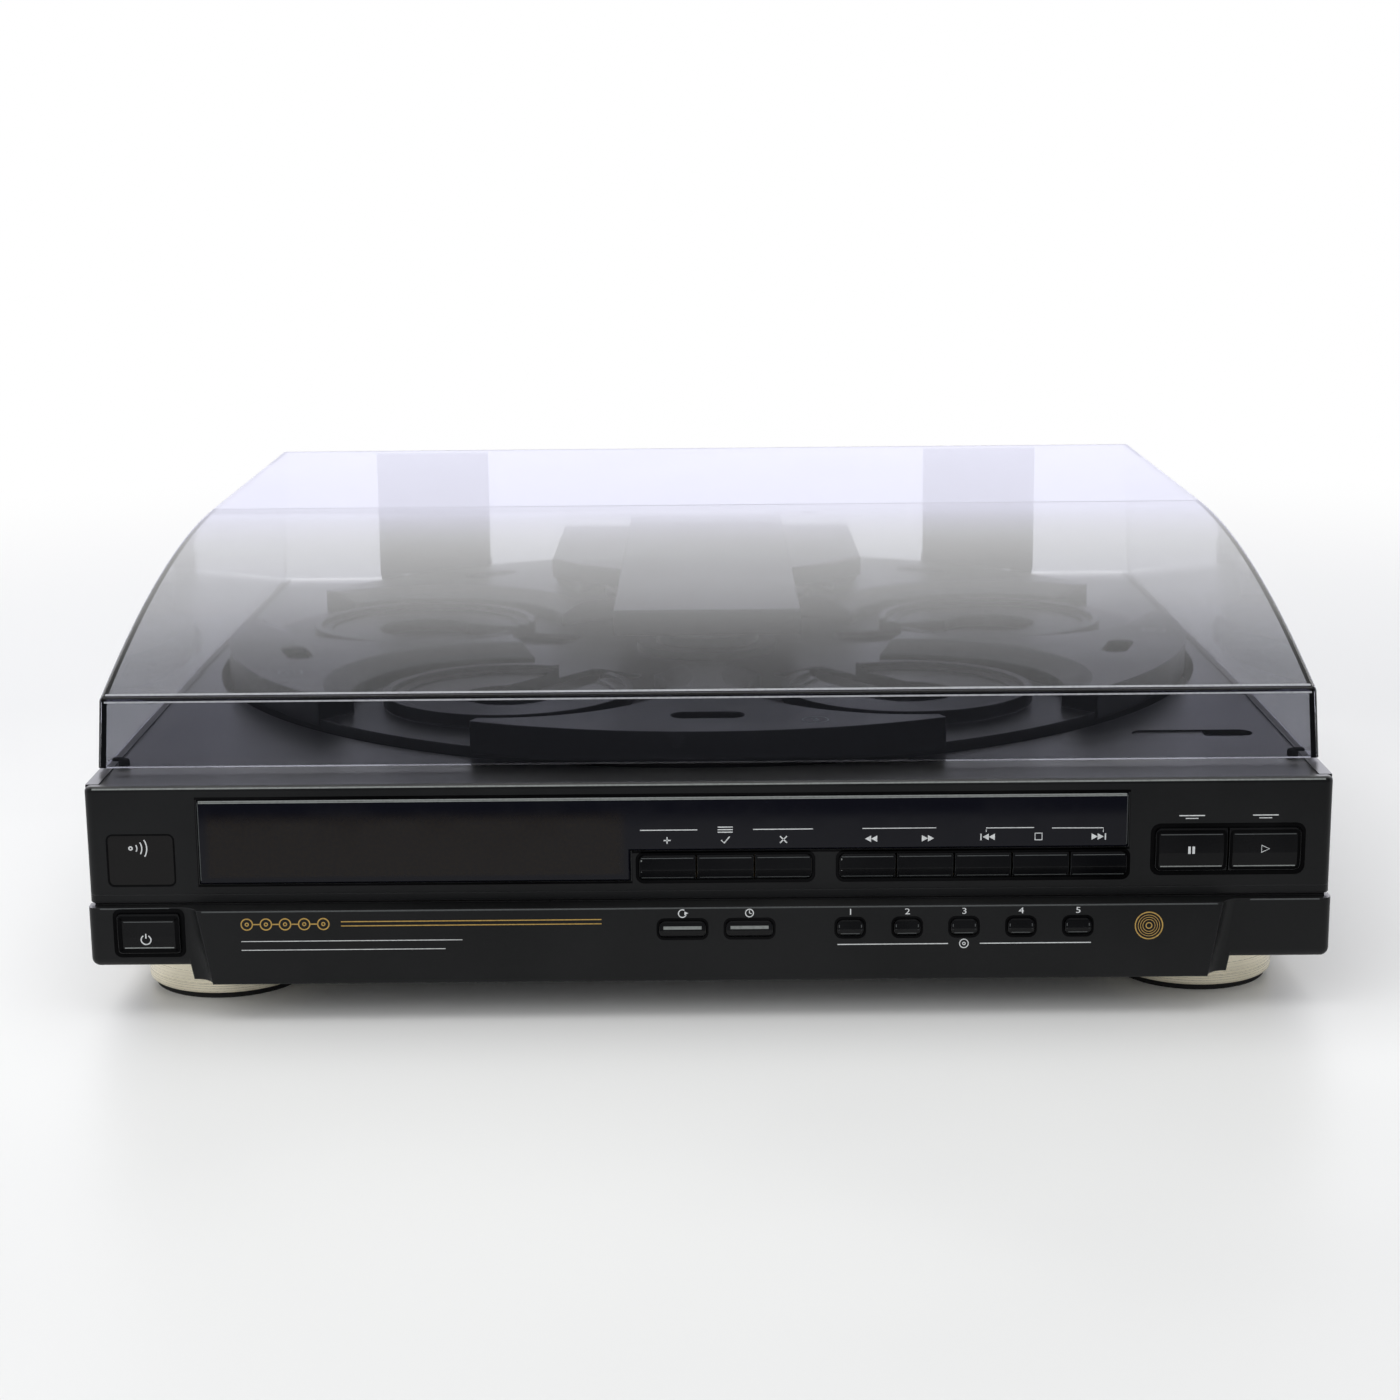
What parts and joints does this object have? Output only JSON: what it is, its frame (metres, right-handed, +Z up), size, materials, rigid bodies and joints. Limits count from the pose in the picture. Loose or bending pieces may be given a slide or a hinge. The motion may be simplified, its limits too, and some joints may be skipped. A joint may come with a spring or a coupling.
{
  "type": "multi disc cd changer",
  "caption": "Low wide disc changer with a hinged smoked lid over a round carousel, a bridge with the disc clamp, a lifting optical drive and a push button front.",
  "frame": {"origin": "centre of the outer box seen from above, on the surface that the feet stand on", "axes": "+X to the right seen from the front, +Y to the back, +Z up"},
  "size_m": [0.4308, 0.4518, 0.1433],
  "materials": {
    "charcoal_plastic": "fine matte moulded finish",
    "carousel_plastic": "matte",
    "smoked_lid": "clear smoked, polished",
    "black_rubber": "matte",
    "hinge_plastic": "matte",
    "gloss_black": "polished",
    "button_plastic": "satin",
    "champagne_metal": "turned, satin",
    "painted_steel": "satin black",
    "bright_steel": "bright",
    "motor_steel": "plated",
    "chassis_plastic": "matte",
    "gear_plastic": "natural acetal",
    "turntable_plastic": "matte",
    "sled_metal": "die cast",
    "circuit_board": "lacquered board",
    "transformer_core": "laminated steel",
    "switch_plastic": "matte",
    "display_glass": "clear"
  },
  "bodies": {
    "cabinet": {"bottom_pan": "painted_steel", "cabinet_top": "charcoal_plastic", "front_bezel": "charcoal_plastic", "lower_strip": "charcoal_plastic", "display_window": "gloss_black", "display_tube": "display_glass", "ir_window": "gloss_black", "key_board": "circuit_board", "main_board": "circuit_board", "transformer": "transformer_core", "rear_panel": "painted_steel", "audio_jacks": "switch_plastic", "ac_inlet": "switch_plastic", "power_switch": "switch_plastic", "bridge_housing": "carousel_plastic", "mech_chassis": "chassis_plastic", "carousel_post": "bright_steel", "drive_motors": "motor_steel", "screws": "bright_steel", "foot_rings": "champagne_metal", "foot_pads": "black_rubber", "guide_posts": "bright_steel", "deck_slot_cover": "charcoal_plastic", "hinge_bases": "hinge_plastic", "hinge_pins": "bright_steel"},
    "lid_unit": {"lid": "smoked_lid", "lid_bumpers": "black_rubber", "hinge_leaves": "hinge_plastic"},
    "carousel_unit": {"carousel": "carousel_plastic"},
    "drive_gear_unit": {"drive_gear": "gear_plastic"},
    "motor_pinion_unit": {"motor_pinion": "gear_plastic"},
    "pickup_unit": {"pickup_frame": "chassis_plastic", "spindle_motor": "motor_steel", "guide_rods": "bright_steel", "sled_motor": "motor_steel"},
    "cam_slider_unit": {"cam_slider": "gear_plastic"},
    "loading_gear_unit": {"loading_gear": "gear_plastic"},
    "loading_pinion_unit": {"loading_pinion": "gear_plastic"},
    "turntable_unit": {"turntable": "turntable_plastic"},
    "sled_unit": {"sled": "sled_metal"},
    "sled_gear_unit": {"sled_gear": "gear_plastic"},
    "clamper_unit": {"clamper_puck": "chassis_plastic"},
    "power_button_unit": {"power_button": "button_plastic"},
    "play_button_unit": {"play_button": "button_plastic"},
    "pause_button_unit": {"pause_button": "button_plastic"},
    "program_button_1_unit": {"program_button_1": "button_plastic"},
    "program_button_2_unit": {"program_button_2": "button_plastic"},
    "program_button_3_unit": {"program_button_3": "button_plastic"},
    "transport_button_1_unit": {"transport_button_1": "button_plastic"},
    "transport_button_2_unit": {"transport_button_2": "button_plastic"},
    "transport_button_3_unit": {"transport_button_3": "button_plastic"},
    "transport_button_4_unit": {"transport_button_4": "button_plastic"},
    "transport_button_5_unit": {"transport_button_5": "button_plastic"},
    "repeat_button_unit": {"repeat_button": "button_plastic"},
    "time_button_unit": {"time_button": "button_plastic"},
    "disc_button_1_unit": {"disc_button_1": "button_plastic"},
    "disc_button_2_unit": {"disc_button_2": "button_plastic"},
    "disc_button_3_unit": {"disc_button_3": "button_plastic"},
    "disc_button_4_unit": {"disc_button_4": "button_plastic"},
    "disc_button_5_unit": {"disc_button_5": "button_plastic"}
  },
  "joints": [
    {"name": "lid_hinge", "type": "hinge", "parent": "cabinet", "child": "lid_unit", "pos_m": [0, 0.22195, 0.088], "axis": [-1, 0, 0], "range_deg": [0, 65]},
    {"name": "carousel_turn", "type": "hinge", "parent": "cabinet", "child": "carousel_unit", "pos_m": [0, 0.00935, 0.08], "axis": [0, 0, 1], "range_deg": [-360, 360]},
    {"name": "drive_gear_turn", "type": "hinge", "parent": "cabinet", "child": "drive_gear_unit", "pos_m": [0.0285, -0.04001, 0.05], "axis": [0, 0, 1], "continuous": true},
    {"name": "motor_pinion_turn", "type": "hinge", "parent": "cabinet", "child": "motor_pinion_unit", "pos_m": [0.0285, -0.07001, 0.04], "axis": [0, 0, 1], "continuous": true},
    {"name": "pickup_lift", "type": "slide", "parent": "cabinet", "child": "pickup_unit", "axis": [0, 0, 1], "range_m": [0, 0.021]},
    {"name": "cam_slide", "type": "slide", "parent": "cabinet", "child": "cam_slider_unit", "axis": [0, -1, 0], "range_m": [0, 0.0301]},
    {"name": "loading_gear_turn", "type": "hinge", "parent": "cabinet", "child": "loading_gear_unit", "pos_m": [0.07, 0.11035, 0.04], "axis": [0, 0, 1], "range_deg": [0, 115.2]},
    {"name": "loading_pinion_turn", "type": "hinge", "parent": "cabinet", "child": "loading_pinion_unit", "pos_m": [0.091, 0.11035, 0.04], "axis": [0, 0, 1], "range_deg": [-288, 0]},
    {"name": "turntable_spin", "type": "hinge", "parent": "pickup_unit", "child": "turntable_unit", "pos_m": [0, 0.14035, 0.075], "axis": [0, 0, 1], "continuous": true},
    {"name": "clamper_spin", "type": "hinge", "parent": "cabinet", "child": "clamper_unit", "pos_m": [0, 0.14035, 0.102], "axis": [0, 0, 1], "continuous": true},
    {"name": "sled_slide", "type": "slide", "parent": "pickup_unit", "child": "sled_unit", "axis": [0, -1, 0], "range_m": [0, 0.0335]},
    {"name": "sled_gear_turn", "type": "hinge", "parent": "pickup_unit", "child": "sled_gear_unit", "pos_m": [-0.033, 0.10435, 0.047], "axis": [0, 0, 1], "range_deg": [-200.5, 0]},
    {"name": "power_button_press", "type": "slide", "parent": "cabinet", "child": "power_button_unit", "axis": [0, 1, 0], "range_m": [0, 0.003], "stiffness_N_per_m": 400},
    {"name": "play_button_press", "type": "slide", "parent": "cabinet", "child": "play_button_unit", "axis": [0, 1, 0], "range_m": [0, 0.0008], "stiffness_N_per_m": 900},
    {"name": "pause_button_press", "type": "slide", "parent": "cabinet", "child": "pause_button_unit", "axis": [0, 1, 0], "range_m": [0, 0.0008], "stiffness_N_per_m": 900},
    {"name": "program_button_1_press", "type": "slide", "parent": "cabinet", "child": "program_button_1_unit", "axis": [0, 1, 0], "range_m": [0, 0.0008], "stiffness_N_per_m": 900},
    {"name": "program_button_2_press", "type": "slide", "parent": "cabinet", "child": "program_button_2_unit", "axis": [0, 1, 0], "range_m": [0, 0.0008], "stiffness_N_per_m": 900},
    {"name": "program_button_3_press", "type": "slide", "parent": "cabinet", "child": "program_button_3_unit", "axis": [0, 1, 0], "range_m": [0, 0.0008], "stiffness_N_per_m": 900},
    {"name": "transport_button_1_press", "type": "slide", "parent": "cabinet", "child": "transport_button_1_unit", "axis": [0, 1, 0], "range_m": [0, 0.0008], "stiffness_N_per_m": 900},
    {"name": "transport_button_2_press", "type": "slide", "parent": "cabinet", "child": "transport_button_2_unit", "axis": [0, 1, 0], "range_m": [0, 0.0008], "stiffness_N_per_m": 900},
    {"name": "transport_button_3_press", "type": "slide", "parent": "cabinet", "child": "transport_button_3_unit", "axis": [0, 1, 0], "range_m": [0, 0.0008], "stiffness_N_per_m": 900},
    {"name": "transport_button_4_press", "type": "slide", "parent": "cabinet", "child": "transport_button_4_unit", "axis": [0, 1, 0], "range_m": [0, 0.0008], "stiffness_N_per_m": 900},
    {"name": "transport_button_5_press", "type": "slide", "parent": "cabinet", "child": "transport_button_5_unit", "axis": [0, 1, 0], "range_m": [0, 0.0008], "stiffness_N_per_m": 900},
    {"name": "repeat_button_press", "type": "slide", "parent": "cabinet", "child": "repeat_button_unit", "axis": [0, 1, 0], "range_m": [0, 0.0008], "stiffness_N_per_m": 900},
    {"name": "time_button_press", "type": "slide", "parent": "cabinet", "child": "time_button_unit", "axis": [0, 1, 0], "range_m": [0, 0.0008], "stiffness_N_per_m": 900},
    {"name": "disc_button_1_press", "type": "slide", "parent": "cabinet", "child": "disc_button_1_unit", "axis": [0, 1, 0], "range_m": [0, 0.0008], "stiffness_N_per_m": 900},
    {"name": "disc_button_2_press", "type": "slide", "parent": "cabinet", "child": "disc_button_2_unit", "axis": [0, 1, 0], "range_m": [0, 0.0008], "stiffness_N_per_m": 900},
    {"name": "disc_button_3_press", "type": "slide", "parent": "cabinet", "child": "disc_button_3_unit", "axis": [0, 1, 0], "range_m": [0, 0.0008], "stiffness_N_per_m": 900},
    {"name": "disc_button_4_press", "type": "slide", "parent": "cabinet", "child": "disc_button_4_unit", "axis": [0, 1, 0], "range_m": [0, 0.0008], "stiffness_N_per_m": 900},
    {"name": "disc_button_5_press", "type": "slide", "parent": "cabinet", "child": "disc_button_5_unit", "axis": [0, 1, 0], "range_m": [0, 0.0008], "stiffness_N_per_m": 900}
  ],
  "couplings": [
    {"joint": "drive_gear_turn", "follows": "carousel_turn", "ratio": -3.75},
    {"joint": "motor_pinion_turn", "follows": "carousel_turn", "ratio": 15},
    {"joint": "cam_slide", "follows": "pickup_lift", "ratio": 1.4286},
    {"joint": "loading_gear_turn", "follows": "pickup_lift", "rad_per_m": 95.238},
    {"joint": "loading_pinion_turn", "follows": "pickup_lift", "rad_per_m": -238.1},
    {"joint": "clamper_spin", "follows": "turntable_spin", "ratio": 1},
    {"joint": "sled_gear_turn", "follows": "sled_slide", "rad_per_m": -104.17}
  ]
}
